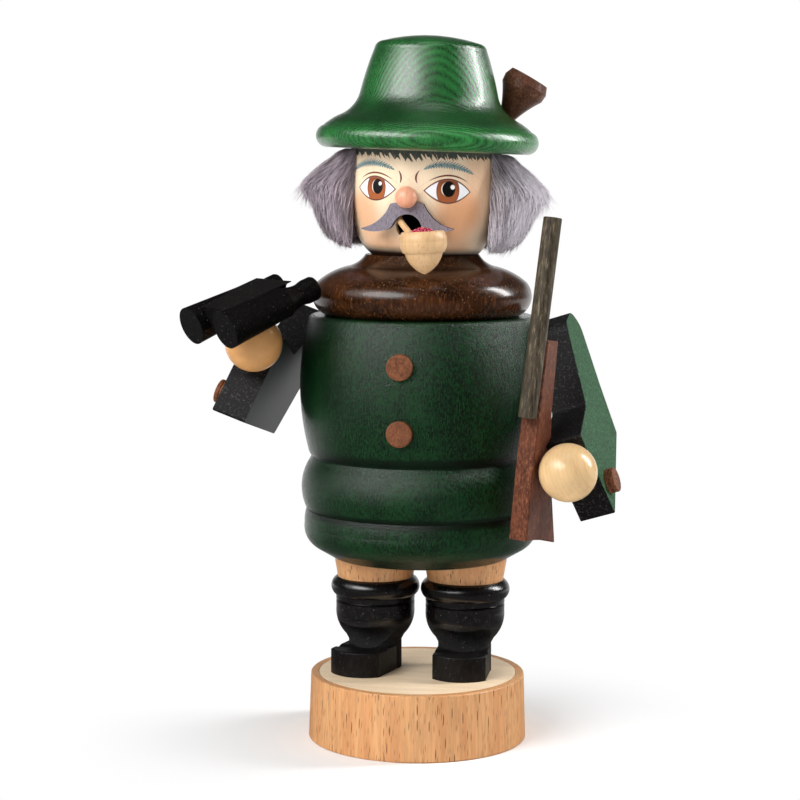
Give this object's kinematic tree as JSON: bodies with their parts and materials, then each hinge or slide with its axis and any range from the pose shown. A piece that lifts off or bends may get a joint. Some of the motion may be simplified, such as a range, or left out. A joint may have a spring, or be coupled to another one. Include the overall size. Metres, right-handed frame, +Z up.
{
  "type": "incense smoker figure",
  "caption": "Turned wooden incense smoker figure of a hunter with hat, pipe, binoculars and rifle on a round base; the hollow upper half lifts off.",
  "frame": {"origin": "centre of the base's underside", "axes": "+Z up, -Y is the side that the figure faces, +X is the figure's left"},
  "size_m": [0.1164, 0.0807, 0.192],
  "materials": {
    "beech": "clear varnished beech with short dark flecks",
    "maple_inlay": "pale fine-grained veneer, satin",
    "boot_black": "satin black stained wood",
    "coat_green": "glossy dark green stain with the grain showing",
    "hat_green": "glossy green stain with lighter grain lines",
    "cape_walnut": "glossy walnut brown stain",
    "brush_brown": "dark brown stain, satin",
    "head_wood": "natural varnished wood with painted face and cheek blush",
    "nose_pink": "pink glaze on wood",
    "moustache_grey": "matt grey stained board with darker edges",
    "hair_fur": "soft grey fur",
    "pipe_wood": "pale raw wood",
    "ember_red": "red and pink glitter",
    "arm_green": "matt green stained board with a speckled surface and black edges",
    "hand_wood": "glossy varnished pale wood",
    "button_brown": "red-brown stained wood",
    "stock_brown": "reddish brown stained board",
    "barrel_brown": "grey-brown stained dowel",
    "binocular_black": "matt black stained wood",
    "plate_metal": "thin pressed sheet"
  },
  "bodies": {
    "stand": {"base_plinth": "beech", "base_inlay": "maple_inlay", "boot_left": "boot_black", "boot_right": "boot_black", "toe_left": "boot_black", "toe_right": "boot_black", "foot_dowel_left": "beech", "foot_dowel_right": "beech", "leg_left": "beech", "leg_right": "beech", "coat_hem": "coat_green", "incense_plate": "plate_metal", "plate_nail": "plate_metal"},
    "upper": {"coat_body": "coat_green", "coat_button_upper": "button_brown", "coat_button_lower": "button_brown", "shoulder_cape": "cape_walnut", "head": "head_wood", "nose": "nose_pink", "moustache": "moustache_grey", "hat": "hat_green", "hat_brush": "brush_brown", "hair": "hair_fur", "pipe_bowl": "pipe_wood", "pipe_embers": "ember_red", "pipe_stem": "pipe_wood", "arm_left": "arm_green", "arm_right": "arm_green", "arm_dowel_left": "beech", "arm_dowel_right": "beech", "hand_left": "hand_wood", "hand_right": "hand_wood", "cuff_button_left": "button_brown", "cuff_button_right": "button_brown", "rifle_stock": "stock_brown", "rifle_barrel": "barrel_brown", "binocular_barrel_near": "binocular_black", "binocular_barrel_far": "binocular_black", "binocular_bridge": "binocular_black"}
  },
  "joints": [
    {"name": "lift", "type": "slide", "parent": "stand", "child": "upper", "axis": [0, 0, 1], "range_m": [0, 0.06]}
  ]
}
